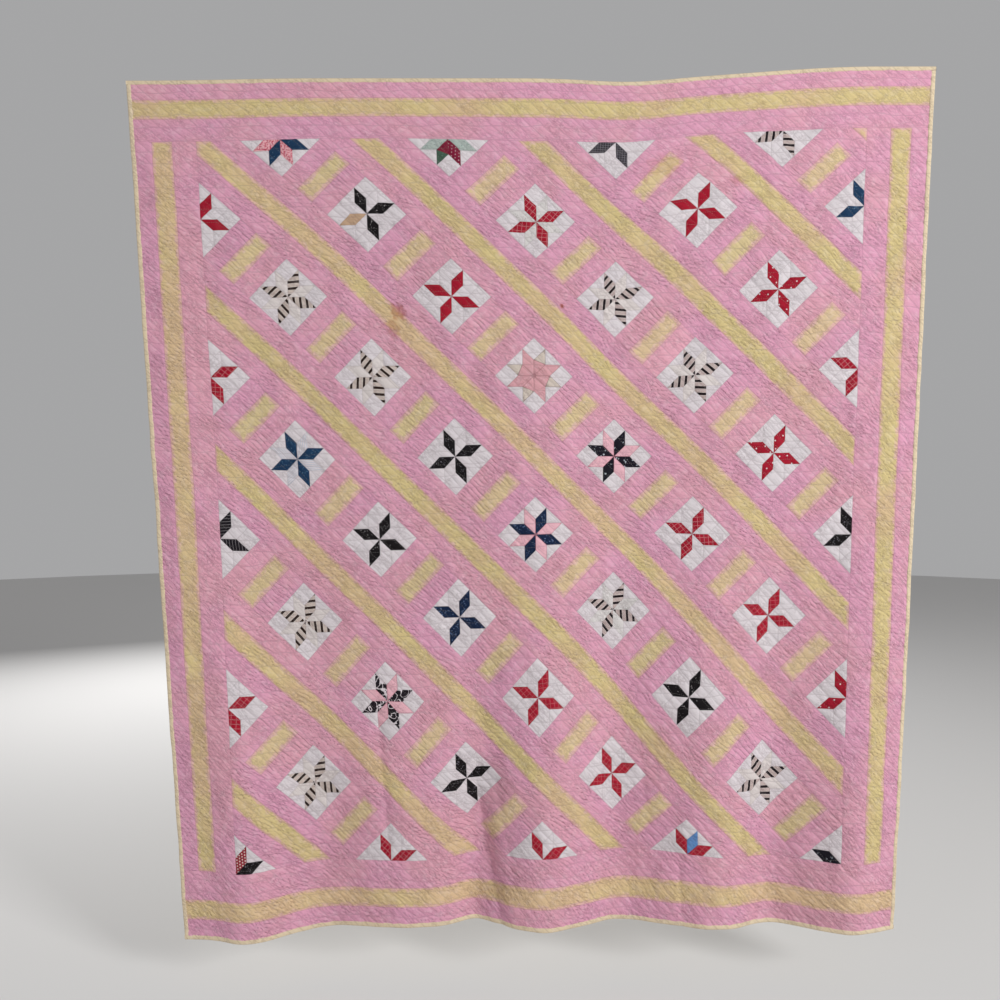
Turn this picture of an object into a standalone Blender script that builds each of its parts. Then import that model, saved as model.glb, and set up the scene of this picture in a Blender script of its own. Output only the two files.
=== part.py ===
"""A patchwork quilt hanging from its top edge: the quilted body and its four binding strips.

Metres, +Z up, front towards -Y. The origin is the middle of the top edge.
A point of the cloth is named by (across, down, out): metres across the flat quilt from its
middle, metres down from its top edge, and metres off its middle layer towards the front.
"""

import math

import bmesh
import bpy
from mathutils import Vector

# Flat quilt: star blocks set on point, parted by sashes of three strips, inside a plain border.
BLOCK = 0.1397
STRIP = 0.0508
BORDER = 0.162
FOOT_BORDER = 0.175
COLUMNS = 8
ROWS = 9
HALF_DIAGONAL = (BLOCK + 3 * STRIP) / math.sqrt(2)
WIDTH = COLUMNS * HALF_DIAGONAL + 2 * BORDER
HEIGHT = BORDER + ROWS * HALF_DIAGONAL + FOOT_BORDER

# Thickness of top, filling and backing sewn together, and the folded binding round the edge.
BODY_THICK = 0.004
BINDING_DEPTH = 0.011
BINDING_CLOTH = 0.001
GAP = 0.0003

# How the hanging cloth spreads: wide along the top edge, drawn in at the hem, drifting sideways.
# The quilting has drawn it up a little, and more so at mid height.
SPREAD_TOP = 1.045
SPREAD_HEM = 0.908
HEM_DRIFT = 0.020
DRAWN_UP = 0.985
MIDDLE_RISE = 0.012

# The top edge is held higher at the right, dips beside that, and droops at the left.
RIGHT_LIFT = 0.030
LIFT_FROM, LIFT_TO = 0.25, 0.85
DIP_AT, DIP_SPREAD, DIP = 0.23, 0.13, 0.009
LEFT_DROOP = 0.006
DROOP_FROM, DROOP_TO = 0.50, 0.95
TOP_FADES_FROM, TOP_FADES_TO = 0.30, 1.40

# The lower left side hangs lower than the rest.
SIDE_DROP = 0.026
SIDE_FROM, SIDE_TO = 0.38, 0.80
SIDE_TOP, SIDE_FULL = 1.05, 1.60

# Folds: where at the hem, half width, how far out at the hem, how far down it starts,
# and how far its line leans across by the time it starts.
FOLDS = [
    {"name": "left swell", "at": -0.80, "spread": 0.085, "out": 0.036, "top": 0.95, "lean": -0.05},
    {"name": "left trough", "at": -0.585, "spread": 0.100, "out": -0.026, "top": 1.05, "lean": 0.03},
    {"name": "crease swell", "at": -0.36, "spread": 0.080, "out": 0.008, "top": 1.20, "lean": 0.02},
    {"name": "crease trough", "at": -0.175, "spread": 0.065, "out": -0.050, "top": 1.30, "lean": 0.05},
    {"name": "middle swell", "at": 0.02, "spread": 0.070, "out": 0.020, "top": 1.25, "lean": 0.03},
    {"name": "middle trough", "at": 0.235, "spread": 0.095, "out": -0.036, "top": 1.00, "lean": -0.02},
    {"name": "right swell", "at": 0.49, "spread": 0.080, "out": 0.018, "top": 1.05, "lean": -0.04},
    {"name": "right trough", "at": 0.655, "spread": 0.070, "out": -0.026, "top": 1.10, "lean": -0.01},
    {"name": "edge swell", "at": 0.86, "spread": 0.090, "out": 0.032, "top": 0.90, "lean": 0.04},
]

# Shallow waves that run down the whole cloth: length across, how far out, shift and start.
WAVES = [
    {"name": "broad", "length": 0.92, "out": 0.0080, "shift": 0.31, "top": 0.05},
    {"name": "narrow", "length": 0.47, "out": 0.0045, "shift": 0.12, "top": 0.35},
]
WAVE_GROWS_OVER = 0.70

# Facets of the solids.
CELLS_ACROSS = 52
CELLS_DOWN = 22
SLOPE_STEP = 0.001

COLOURS = {
    "quilt_body": (0.66, 0.33, 0.41),
    "binding": (0.66, 0.56, 0.36),
}
CLOTH_ROUGHNESS = 0.9


def ease(value, start, end):
    """0 before start, 1 after end, and a smooth rise between them."""
    t = min(1.0, max(0.0, (value - start) / (end - start)))
    return t * t * (3 - 2 * t)


def fold_out(across, down):
    """How far the folds and waves push the cloth towards the front."""
    out = 0.0
    for fold in FOLDS:
        grown = ease(down, fold["top"], HEIGHT)
        line = fold["at"] + fold["lean"] * (1 - grown)
        out += fold["out"] * grown * math.exp(-(((across - line) / fold["spread"]) ** 2))
    for wave in WAVES:
        grown = ease(down, wave["top"], wave["top"] + WAVE_GROWS_OVER)
        turns = (across + wave["shift"]) / wave["length"]
        out += wave["out"] * grown * math.sin(2 * math.pi * turns)
    return out


def top_line(across):
    """Height of the held top edge, against its middle."""
    lift = RIGHT_LIFT * ease(across, LIFT_FROM, LIFT_TO)
    dip = DIP * math.exp(-(((across - DIP_AT) / DIP_SPREAD) ** 2))
    return lift - dip - LEFT_DROOP * ease(-across, DROOP_FROM, DROOP_TO)


def middle_layer(across, down):
    """Where a point of the cloth's middle layer hangs."""
    share = down / HEIGHT
    x = across * (SPREAD_TOP + (SPREAD_HEM - SPREAD_TOP) * share) + HEM_DRIFT * share
    level = (top_line(across) - top_line(0)) * (1 - ease(down, TOP_FADES_FROM, TOP_FADES_TO))
    drop = SIDE_DROP * ease(-across, SIDE_FROM, SIDE_TO) * ease(down, SIDE_TOP, SIDE_FULL)
    z = -down * DRAWN_UP + MIDDLE_RISE * math.sin(math.pi * share) + level - drop
    return Vector((x, -fold_out(across, down), z))


def hung(across, down, out):
    """Where a point of the cloth hangs, out metres in front of its middle layer."""
    step = SLOPE_STEP
    along = middle_layer(across + step, down) - middle_layer(across - step, down)
    below = middle_layer(across, down + step) - middle_layer(across, down - step)
    front = below.cross(along).normalized()
    return middle_layer(across, down) + front * out


def stations(size, cells, start):
    """Places of the facets' edges over a side, with one at each edge of the binding."""
    inner = [BINDING_DEPTH + (size - 2 * BINDING_DEPTH) * i / (cells - 2) for i in range(cells - 1)]
    return [start + place for place in inner]


def cloth_material(name, colour):
    material = bpy.data.materials.new(name)
    material.use_nodes = True
    shader = material.node_tree.nodes["Principled BSDF"]
    shader.inputs["Base Color"].default_value = (*colour, 1.0)
    shader.inputs["Roughness"].default_value = CLOTH_ROUGHNESS
    shader.inputs["Metallic"].default_value = 0.0
    return material


def add_object(name, mesh, material):
    thing = bpy.data.objects.new(name, mesh)
    bpy.context.scene.collection.objects.link(thing)
    mesh.materials.append(material)
    return thing


def finished_mesh(name, work):
    """Turns a bmesh into a mesh whose faces point out."""
    bmesh.ops.recalc_face_normals(work, faces=work.faces)
    mesh = bpy.data.meshes.new(name)
    work.to_mesh(mesh)
    work.free()
    return mesh


def body_mesh(name):
    """The quilted body: a front and a back sheet of facets joined round the rim."""
    inset = BINDING_CLOTH + GAP
    inner_across = stations(WIDTH, CELLS_ACROSS, -WIDTH / 2)
    inner_down = stations(HEIGHT, CELLS_DOWN, 0.0)
    across = [-WIDTH / 2 + inset, *inner_across, WIDTH / 2 - inset]
    down = [inset, *inner_down, HEIGHT - inset]
    work = bmesh.new()
    sheets = []
    for out in (BODY_THICK / 2, -BODY_THICK / 2):
        sheets.append([[work.verts.new(hung(u, v, out)) for u in across] for v in down])
    for sheet in sheets:
        for row, below in zip(sheet, sheet[1:]):
            for i in range(len(row) - 1):
                work.faces.new((row[i], row[i + 1], below[i + 1], below[i]))
    rims = [rim_of(sheet) for sheet in sheets]
    for i, corner in enumerate(rims[0]):
        after = (i + 1) % len(rims[0])
        work.faces.new((corner, rims[0][after], rims[1][after], rims[1][i]))
    return finished_mesh(name, work)


def rim_of(sheet):
    """The outer points of a sheet in order."""
    right = [row[-1] for row in sheet[1:-1]]
    left = [row[0] for row in sheet[-2:0:-1]]
    return [*sheet[0], *right, *reversed(sheet[-1]), *left]


def binding_mesh(name, places, at):
    """A strip folded round one edge: a U section swept along the edge.

    places are the stations along the edge, and at(place, deep, out) hangs a point of the
    section that lies deep metres in from the edge.
    """
    outer = BODY_THICK / 2 + GAP + BINDING_CLOTH
    inner = BODY_THICK / 2 + GAP
    section = [
        (0.0, -outer),
        (BINDING_DEPTH, -outer),
        (BINDING_DEPTH, -inner),
        (BINDING_CLOTH, -inner),
        (BINDING_CLOTH, inner),
        (BINDING_DEPTH, inner),
        (BINDING_DEPTH, outer),
        (0.0, outer),
    ]
    end_faces = [(0, 1, 2, 3), (0, 3, 4, 7), (4, 5, 6, 7)]
    work = bmesh.new()
    rings = [[work.verts.new(at(place, deep, out)) for deep, out in section] for place in places]
    for ring, following in zip(rings, rings[1:]):
        for i in range(len(section)):
            j = (i + 1) % len(section)
            work.faces.new((ring[i], ring[j], following[j], following[i]))
    for ring in (rings[0], rings[-1]):
        for corners in end_faces:
            work.faces.new([ring[i] for i in corners])
    return finished_mesh(name, work)


def add_bindings(material):
    """Top and bottom strips run the full width; the side strips end against them."""
    inner_across = stations(WIDTH, CELLS_ACROSS, -WIDTH / 2)
    full = [-WIDTH / 2, *inner_across, WIDTH / 2]
    inner_down = stations(HEIGHT, CELLS_DOWN, 0.0)
    short = [BINDING_DEPTH + GAP, *inner_down[1:-1], HEIGHT - BINDING_DEPTH - GAP]
    strips = {
        "binding_top": (full, lambda place, deep, out: hung(place, deep, out)),
        "binding_bottom": (full, lambda place, deep, out: hung(place, HEIGHT - deep, out)),
        "binding_left": (short, lambda place, deep, out: hung(-WIDTH / 2 + deep, place, out)),
        "binding_right": (short, lambda place, deep, out: hung(WIDTH / 2 - deep, place, out)),
    }
    for name, (places, at) in strips.items():
        add_object(name, binding_mesh(name, places, at), material)


def clear_scene():
    for thing in list(bpy.data.objects):
        bpy.data.objects.remove(thing)


def main():
    clear_scene()
    body = cloth_material("quilted_cotton", COLOURS["quilt_body"])
    binding = cloth_material("binding_cotton", COLOURS["binding"])
    add_object("quilt_body", body_mesh("quilt_body"), body)
    add_bindings(binding)


main()
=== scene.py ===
"""A patchwork quilt hanging from its top edge: pieced, quilted, backed and bound.

Metres. A point of the cloth is (across, down, out): metres across the flat quilt from its middle,
metres down from its top edge, and metres off its middle layer towards the front. hung() says
where such a point hangs, by the same rules as the frame's solids.
"""

import math

import bpy
import numpy as np
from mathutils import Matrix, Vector


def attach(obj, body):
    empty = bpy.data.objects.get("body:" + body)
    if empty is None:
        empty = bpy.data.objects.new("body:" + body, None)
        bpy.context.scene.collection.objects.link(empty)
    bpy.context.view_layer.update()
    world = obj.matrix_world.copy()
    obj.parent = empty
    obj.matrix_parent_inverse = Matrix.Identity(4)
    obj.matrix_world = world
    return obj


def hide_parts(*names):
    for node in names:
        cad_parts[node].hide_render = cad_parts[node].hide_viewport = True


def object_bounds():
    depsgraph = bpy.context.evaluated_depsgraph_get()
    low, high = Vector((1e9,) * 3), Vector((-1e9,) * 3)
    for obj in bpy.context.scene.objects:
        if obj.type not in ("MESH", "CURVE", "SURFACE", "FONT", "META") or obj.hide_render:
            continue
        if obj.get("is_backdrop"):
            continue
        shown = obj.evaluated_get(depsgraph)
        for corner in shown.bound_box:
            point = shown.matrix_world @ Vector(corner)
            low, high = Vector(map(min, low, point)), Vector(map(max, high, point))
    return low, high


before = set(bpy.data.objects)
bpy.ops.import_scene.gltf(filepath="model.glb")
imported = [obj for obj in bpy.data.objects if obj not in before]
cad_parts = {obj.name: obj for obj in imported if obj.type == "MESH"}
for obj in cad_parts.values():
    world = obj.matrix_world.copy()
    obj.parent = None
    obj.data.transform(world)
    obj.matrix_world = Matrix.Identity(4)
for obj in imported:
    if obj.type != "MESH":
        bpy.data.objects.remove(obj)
CAD_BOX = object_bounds()


def table(columns, *rows):
    """Rows of a table as dictionaries by the columns' names; a short row leaves the last ones out."""
    names = columns.split()
    return [dict(zip(names, row)) for row in rows]


# ---- the flat quilt

BLOCK = 0.1397
STRIP = 0.0508
BORDER = 0.162
FOOT_BORDER = 0.175
COLUMNS = 8
ROWS = 9
PITCH = BLOCK + 3 * STRIP
HALF_DIAGONAL = PITCH / math.sqrt(2)
WIDTH = COLUMNS * HALF_DIAGONAL + 2 * BORDER
HEIGHT = BORDER + ROWS * HALF_DIAGONAL + FOOT_BORDER
FIELD_LEFT, FIELD_RIGHT = -WIDTH / 2 + BORDER, WIDTH / 2 - BORDER
FIELD_TOP, FIELD_FOOT = BORDER, HEIGHT - FOOT_BORDER

# Widths of the border's strips, from the outer edge in.
BORDER_STRIPS = [("pink", 0.052), ("yellow", 0.051), ("pink", None)]
BINDING_DEPTH = 0.011
SHEET_INSET = 0.002

# Quilting: lines across and lines slanting down to the right, both this far apart, measured
# down the cloth. The facets of the sheets have a corner wherever two lines cross.
QUILTING = 0.03143
FRONT_CELLS = 8
BACK_CELLS = 4

# Relief of the front and the back, off the middle layer.
SKIN = 0.0017
PUFF = 0.0014
STITCH_WIDE = 0.0046
DITCH = 0.0008
DITCH_WIDE = 0.0022
FLAT_EDGE = 2 * BINDING_DEPTH
SEAM_CLEAR = (-0.001, 0.004)

# Puckers that the stitches gather into the cloth: short valleys about this far apart. Most slant
# down to the right, others lie nearer level, and a fine crackle runs all ways.
PUCKERS = table(
    "name apart deep turn scatter seed",
    ("slanting", 0.0092, 0.0021, 42, 34, 31),
    ("lying", 0.0100, 0.0017, 22, 40, 47),
    ("crackle", 0.0085, 0.0016, 10, 130, 53),
)

# Each kind is a sum of this many waves, of lengths between these shares of its distance apart.
# They gather in drifts: between these heights of longer waves a kind grows from none to full.
PUCKER_WAVES = 26
PUCKER_LENGTHS = (0.84, 1.30)
DRIFT_WAVES = 14
DRIFT_LENGTHS = (0.05, 0.24)
DRIFT_GROWS = (-1.5, 0.9)

# The valleys' profile, and between which sizes of wave they grow in the mesh and in the shading.
PUCKER_SHARP = 0.75
PUCKER_SHOWS = (0.45, 1.75)
PUCKER_DRAWN = (0.35, 1.20)

# They are weaker along the held top edge, and full this far down.
CALM_TOP = 0.50
CALM_OVER = (0.06, 0.42)

# How much of each kind a piece shows: slanting, lying, crackle.
PUCKERED = {
    "short_pink_sashes": (0.90, 0.25, 0.55),
    "short_yellow_sashes": (0.75, 0.25, 0.45),
    "long_pink_sashes": (0.35, 0.75, 0.90),
    "long_yellow_sashes": (0.55, 0.50, 0.75),
    "pink_borders": (0.55, 0.60, 0.80),
    "yellow_borders": (0.55, 0.60, 0.80),
    "block_grounds": (0.25, 0.20, 0.45),
    "stars": (0.20, 0.15, 0.20),
}

# ---- how it hangs

SPREAD_TOP = 1.045
SPREAD_HEM = 0.908
HEM_DRIFT = 0.020
DRAWN_UP = 0.985
MIDDLE_RISE = 0.012

RIGHT_LIFT = 0.030
LIFT_FROM, LIFT_TO = 0.25, 0.85
DIP_AT, DIP_SPREAD, DIP = 0.23, 0.13, 0.009
LEFT_DROOP = 0.006
DROOP_FROM, DROOP_TO = 0.50, 0.95
TOP_FADES_FROM, TOP_FADES_TO = 0.30, 1.40

SIDE_DROP = 0.026
SIDE_FROM, SIDE_TO = 0.38, 0.80
SIDE_TOP, SIDE_FULL = 1.05, 1.60

FOLDS = table(
    "name at spread out top lean",
    ("left swell", -0.80, 0.085, 0.036, 0.95, -0.05),
    ("left trough", -0.585, 0.100, -0.026, 1.05, 0.03),
    ("crease swell", -0.36, 0.080, 0.008, 1.20, 0.02),
    ("crease trough", -0.175, 0.065, -0.050, 1.30, 0.05),
    ("middle swell", 0.02, 0.070, 0.020, 1.25, 0.03),
    ("middle trough", 0.235, 0.095, -0.036, 1.00, -0.02),
    ("right swell", 0.49, 0.080, 0.018, 1.05, -0.04),
    ("right trough", 0.655, 0.070, -0.026, 1.10, -0.01),
    ("edge swell", 0.86, 0.090, 0.032, 0.90, 0.04),
)
WAVES = table(
    "name length out shift top",
    ("broad", 0.92, 0.0080, 0.31, 0.05),
    ("narrow", 0.47, 0.0045, 0.12, 0.35),
)
WAVE_GROWS_OVER = 0.70

# Sharper creases pressed into the cloth: middle, half length down, half width and depth, and
# how far the crease leans across over its length.
CREASES = table(
    "name across down long wide in lean",
    ("left", -0.424, 1.80, 0.20, 0.016, 0.0100, 0.01),
    ("middle", -0.128, 2.05, 0.21, 0.018, 0.0120, 0.04),
    ("beside", -0.085, 1.98, 0.16, 0.012, 0.0040, 0.03),
    ("right", 0.300, 1.86, 0.14, 0.014, 0.0045, 0.02),
    ("hem", 0.398, 2.12, 0.10, 0.010, 0.0050, 0.01),
    ("far right", 0.560, 1.90, 0.20, 0.016, 0.0050, 0.01),
    ("far left", -0.700, 2.05, 0.15, 0.016, 0.0050, 0.02),
)
CREASE_BLUNT = 0.06

# Where the hand piecing runs out of true: (column, row) of the lattice, reach, and shift.
PULLS = table(
    "at reach across down",
    ((2.3, 7.6), 0.30, 0.012, 0.016),
    ((4.0, 9.0), 0.25, 0.010, -0.010),
    ((6.3, 8.2), 0.25, -0.008, 0.014),
    ((6.0, 9.2), 0.20, 0.004, -0.020),
    ((5.0, 5.8), 0.22, 0.000, -0.014),
    ((1.5, 4.6), 0.28, 0.004, 0.013),
    ((6.0, 1.0), 0.20, 0.000, -0.022),
    ((2.0, 1.0), 0.20, 0.000, -0.013),
    ((4.0, 1.0), 0.18, 0.010, 0.011),
)
PULL_FADE = 0.12

SLOPE_STEP = 0.001


def ease(value, start, end):
    """0 before start, 1 after end, and a smooth rise between them."""
    t = np.clip((value - start) / (end - start), 0.0, 1.0)
    return t * t * (3 - 2 * t)


def bump(value, middle, spread):
    return np.exp(-(((value - middle) / spread) ** 2))


def ripples(seed, count, shortest, longest, slant, scatter):
    """Plane waves for a soft random surface: wave numbers across and down, and phases."""
    draw = np.random.default_rng(seed)
    length = shortest * (longest / shortest) ** draw.random(count)
    turn = slant + scatter * (draw.random(count) - 0.5)
    waves = 2 * math.pi / length
    return waves * np.cos(turn), waves * np.sin(turn), 2 * math.pi * draw.random(count)


def ripple_height(waves, across, down):
    """The sum of some ripples, about 1 high."""
    total = np.zeros(np.shape(across))
    for one_across, one_down, phase in zip(*waves):
        total += np.sin(one_across * across + one_down * down + phase)
    return total * math.sqrt(2 / len(waves[0]))


# Slant and scatter of waves that run all ways.
ALL_WAYS = (0.0, 2 * math.pi)

# Slack between the folds, which starts below the held edge.
SLACK = ripples(seed=5, count=14, shortest=0.07, longest=0.26, slant=0.3, scatter=2.4)
SLACK_OUT = 0.0011
SLACK_FULL = 0.25

# How far the quilting lines stray, and how unevenly the filling plumps the cloth up.
STRAY = 0.0018
LEVEL_STRAY = ripples(11, 12, 0.05, 0.22, *ALL_WAYS)
SLANT_STRAY = ripples(12, 12, 0.05, 0.22, *ALL_WAYS)
PLUMP = ripples(13, 12, 0.03, 0.12, *ALL_WAYS)
PLUMP_SHARE = 0.25


def fold_out(across, down):
    """How far the folds, waves, creases and slack push the cloth towards the front."""
    out = SLACK_OUT * ripple_height(SLACK, across, down) * ease(down, 0.0, SLACK_FULL)
    for fold in FOLDS:
        grown = ease(down, fold["top"], HEIGHT)
        line = fold["at"] + fold["lean"] * (1 - grown)
        out = out + fold["out"] * grown * bump(across, line, fold["spread"])
    for wave in WAVES:
        grown = ease(down, wave["top"], wave["top"] + WAVE_GROWS_OVER)
        turns = (across + wave["shift"]) / wave["length"]
        out = out + wave["out"] * grown * np.sin(2 * math.pi * turns)
    for crease in CREASES:
        along = (down - crease["down"]) / crease["long"]
        line = crease["across"] + crease["lean"] * along
        aside = np.sqrt(((across - line) / crease["wide"]) ** 2 + CREASE_BLUNT)
        out = out - crease["in"] * np.exp(-(along**4) - aside)
    return out


def top_line(across):
    """Height of the held top edge, against its middle."""
    lift = RIGHT_LIFT * ease(across, LIFT_FROM, LIFT_TO)
    dip = DIP * bump(across, DIP_AT, DIP_SPREAD)
    return lift - dip - LEFT_DROOP * ease(-across, DROOP_FROM, DROOP_TO)


def lattice_point(column, row):
    """Where a corner of the lattice of blocks lies: blocks sit where column + row is odd."""
    return (column - COLUMNS / 2) * HALF_DIAGONAL, FIELD_TOP + row * HALF_DIAGONAL


def from_edge(across, down):
    """How far in from the quilt's edge a flat place lies."""
    return np.minimum(np.minimum(down, HEIGHT - down), WIDTH / 2 - np.abs(across))


def out_of_true(across, down):
    """A flat place moved by the unevenness of the piecing, which dies out at the edges."""
    fade = ease(from_edge(across, down), 0.0, PULL_FADE)
    moved_across, moved_down = across, down
    for pull in PULLS:
        at_across, at_down = lattice_point(*pull["at"])
        near = fade * bump(across, at_across, pull["reach"]) * bump(down, at_down, pull["reach"])
        moved_across = moved_across + pull["across"] * near
        moved_down = moved_down + pull["down"] * near
    return moved_across, moved_down


def middle_layer(across, down):
    """Where points of the cloth's middle layer hang: an array of (x, y, z)."""
    share = down / HEIGHT
    x = across * (SPREAD_TOP + (SPREAD_HEM - SPREAD_TOP) * share) + HEM_DRIFT * share
    level = (top_line(across) - top_line(0.0)) * (1 - ease(down, TOP_FADES_FROM, TOP_FADES_TO))
    drop = SIDE_DROP * ease(-across, SIDE_FROM, SIDE_TO) * ease(down, SIDE_TOP, SIDE_FULL)
    z = -down * DRAWN_UP + MIDDLE_RISE * np.sin(math.pi * share) + level - drop
    return np.stack([x, -fold_out(across, down), z], axis=-1)


def hung(across, down, out):
    """Where points hang, out metres in front of the middle layer."""
    across, down = out_of_true(np.asarray(across, float), np.asarray(down, float))
    step = SLOPE_STEP
    along = middle_layer(across + step, down) - middle_layer(across - step, down)
    below = middle_layer(across, down + step) - middle_layer(across, down - step)
    front = np.cross(below, along)
    front /= np.linalg.norm(front, axis=-1, keepdims=True)
    return middle_layer(across, down) + front * np.asarray(out)[..., None]


def to_line(value, spacing):
    """Distance to the nearest of some evenly spaced lines."""
    return np.abs(value - spacing * np.round(value / spacing))


def pucker_waves(across, down):
    """Each kind of pucker as a ragged wave: its cosine part, sine part and local strength.

    The valleys run where the wave's phase is nought, and fade out where it is weak.
    """
    for pucker in PUCKERS:
        turn = math.radians(pucker["turn"] - 90)
        scatter = math.radians(pucker["scatter"])
        lengths = [pucker["apart"] * share for share in PUCKER_LENGTHS]
        waves = ripples(pucker["seed"], PUCKER_WAVES, *lengths, turn, scatter)
        quarter = (waves[0], waves[1], waves[2] - math.pi / 2)
        slow = ripples(pucker["seed"] + 1, DRIFT_WAVES, *DRIFT_LENGTHS, *ALL_WAYS)
        strength = ease(ripple_height(slow, across, down), *DRIFT_GROWS)
        strength = strength * (CALM_TOP + (1 - CALM_TOP) * ease(down, *CALM_OVER))
        yield ripple_height(waves, across, down), ripple_height(quarter, across, down), strength


def pucker_depth(cosine, sine):
    """How deep a ragged wave's pucker lies, from 0 on the crests to 1 in strong valleys."""
    size = np.hypot(cosine, sine)
    crest = np.sqrt(np.clip((1 - cosine / np.maximum(size, 1e-6)) / 2, 0.0, 1.0))
    return (1 - crest**PUCKER_SHARP) * ease(size, *PUCKER_SHOWS)


def stitch_stray(across, down):
    """How far the level and the slanting quilting lines stray from true."""
    level = STRAY * ripple_height(LEVEL_STRAY, across, down)
    return level, STRAY * ripple_height(SLANT_STRAY, across, down)


# Stains, by their place on the flat quilt.
STAINS = table(
    "across down wide tall strength",
    (-0.343, 0.617, 0.020, 0.022, 0.60),
    (-0.357, 0.657, 0.020, 0.026, 0.42),
    (0.325, 0.240, 0.060, 0.036, 0.22),
    (0.510, 0.296, 0.020, 0.012, 0.30),
    (0.070, 0.596, 0.006, 0.006, 1.00),
)
STAIN_RAGGED = 0.20
STAIN_EDGE = ripples(17, 16, 0.010, 0.06, *ALL_WAYS)
STAIN_FADES = (0.45, 1.25)


def stained(across, down):
    """How brown the cloth has gone, from 0 to 1."""
    ragged = STAIN_RAGGED * ripple_height(STAIN_EDGE, across, down)
    brown = np.zeros(np.shape(across))
    for stain in STAINS:
        aside = (across - stain["across"]) / stain["wide"]
        below = (down - stain["down"]) / stain["tall"]
        spot = 1 - ease(np.hypot(aside, below) + ragged, *STAIN_FADES)
        brown = np.maximum(brown, stain["strength"] * spot)
    return brown


def quilted(across, down):
    """How far the filling puffs the cloth up between the quilting lines, from 0 to 1."""
    level_stray, slant_stray = stitch_stray(across, down)
    level = to_line(down + level_stray, QUILTING)
    slant = to_line(across - down + slant_stray, QUILTING) / math.sqrt(2)
    return (1 - np.exp(-((level / STITCH_WIDE) ** 2))) * (1 - np.exp(-((slant / STITCH_WIDE) ** 2)))


# ---- the pattern

# Directions of the lattice in the flat quilt: along the rows of blocks (down to the right)
# and across the rows (up to the right).
ROW = np.array([1.0, 1.0]) / math.sqrt(2)
CROSS = np.array([1.0, -1.0]) / math.sqrt(2)
LATTICE_MIDDLE = np.array([0.0, FIELD_TOP])

# A star's petal: sharp diamonds of 45 degrees round the block's middle.
PETAL = BLOCK * (1 - 1 / math.sqrt(2))
SHOULDER = BLOCK / 2 - PETAL
STAR_POINTS = 8

# The petals are cut with the grain leaning off their length.
STRIPE_LEAN = math.radians(27)

# Fabrics of the star blocks by (column, row). turn says which four petals are the dark ones:
# "right" has 1, 3, 5 and 7 and "left" has 0, 2, 4 and 6, counted from the petal that points
# right and slightly down, going up and round. between names the other four, if not white.
# odd gives single petals that differ. A pair of names is a petal pieced from two: middle, tip.
BLOCKS = table(
    "at turn petals between odd",
    ((1, 0), "left", "navy", "pink_print"),
    ((3, 0), "left", "teal_print", "teal_print", {6: ("maroon", "green"), 7: "maroon_dots"}),
    ((5, 0), "right", "black_check"),
    ((7, 0), "right", "charcoal_stripe"),
    ((0, 1), "left", "red"),
    ((2, 1), "right", "black_flecks", "white", {5: "tan"}),
    ((4, 1), "right", "red_plaid", "grey_print"),
    ((6, 1), "left", "red"),
    ((8, 1), "right", "navy"),
    ((1, 2), "left", "brown_stripe", "ecru"),
    ((3, 2), "left", "red"),
    ((5, 2), "right", "charcoal_stripe", "ecru"),
    ((7, 2), "right", "red_dots"),
    ((0, 3), "right", "red_plaid"),
    ((2, 3), "right", "brown_stripe", "ecru"),
    ((4, 3), "right", "salmon", ("salmon", "stone_print")),
    ((6, 3), "right", "charcoal_stripe", "ecru"),
    ((8, 3), "left", "red_plaid"),
    ((1, 4), "right", "navy", "blue_hairline"),
    ((3, 4), "right", "black_fine"),
    ((5, 4), "left", "black_flowers", "salmon_fine"),
    ((7, 4), "left", "red_dots"),
    ((0, 5), "left", "black_pinstripe"),
    ((2, 5), "left", "black_flecks"),
    ((4, 5), "left", "navy_print", "salmon_fine"),
    ((6, 5), "left", "red_plaid"),
    ((8, 5), "right", "black_fine"),
    ((1, 6), "left", "brown_stripe", "ecru"),
    ((3, 6), "left", "navy_print"),
    ((5, 6), "left", "charcoal_stripe", "grey_print"),
    ((7, 6), "left", "red_lines"),
    ((0, 7), "right", "red_plaid"),
    ((2, 7), "right", "black_splash", "salmon_fine"),
    ((4, 7), "left", "red_lines"),
    ((6, 7), "left", "black_flecks"),
    ((8, 7), "right", "red_dots"),
    ((1, 8), "left", "brown_stripe", "ecru"),
    ((3, 8), "right", "black_fine"),
    ((5, 8), "right", "red_lines"),
    ((7, 8), "right", "charcoal_stripe", "ecru"),
    ((0, 9), "left", "red_dense_dots", "white", {1: "black_fine", 3: "red_dense_dots"}),
    ((2, 9), "right", "red_plaid"),
    ((4, 9), "right", "red_lines"),
    ((6, 9), "right", "red_lines", "white", {2: "cornflower"}),
    ((8, 9), "left", "black_flowers"),
)

# Corners nearer than this are one corner.
SAME_PLACE = 1e-5

PATCH_SHIFT = 0.2
patch_draw = np.random.default_rng(21)


def patch(piece, fabric, corners, grain=0.0):
    """A sewn patch: its flat corners, the way its fabric's grain runs and its own tone."""
    return {
        "piece": piece,
        "fabric": fabric,
        "corners": np.array(corners, float),
        "grain": grain,
        "offset": patch_draw.random(2) * PATCH_SHIFT,
        "tone": patch_draw.normal(0.0, 1.0),
    }


def turned(x, y, turn):
    """A flat place turned about the origin."""
    return x * math.cos(turn) - y * math.sin(turn), x * math.sin(turn) + y * math.cos(turn)


def from_lattice(along, cross):
    """The flat place of a point given along and across the rows of blocks."""
    return LATTICE_MIDDLE + ROW * along + CROSS * cross


def box_on_point(along, cross):
    """Corners of a box that lies square to the rows; along and cross are (from, to)."""
    ends = [(along[0], cross[0]), (along[1], cross[0]), (along[1], cross[1]), (along[0], cross[1])]
    return [from_lattice(*end) for end in ends]


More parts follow.
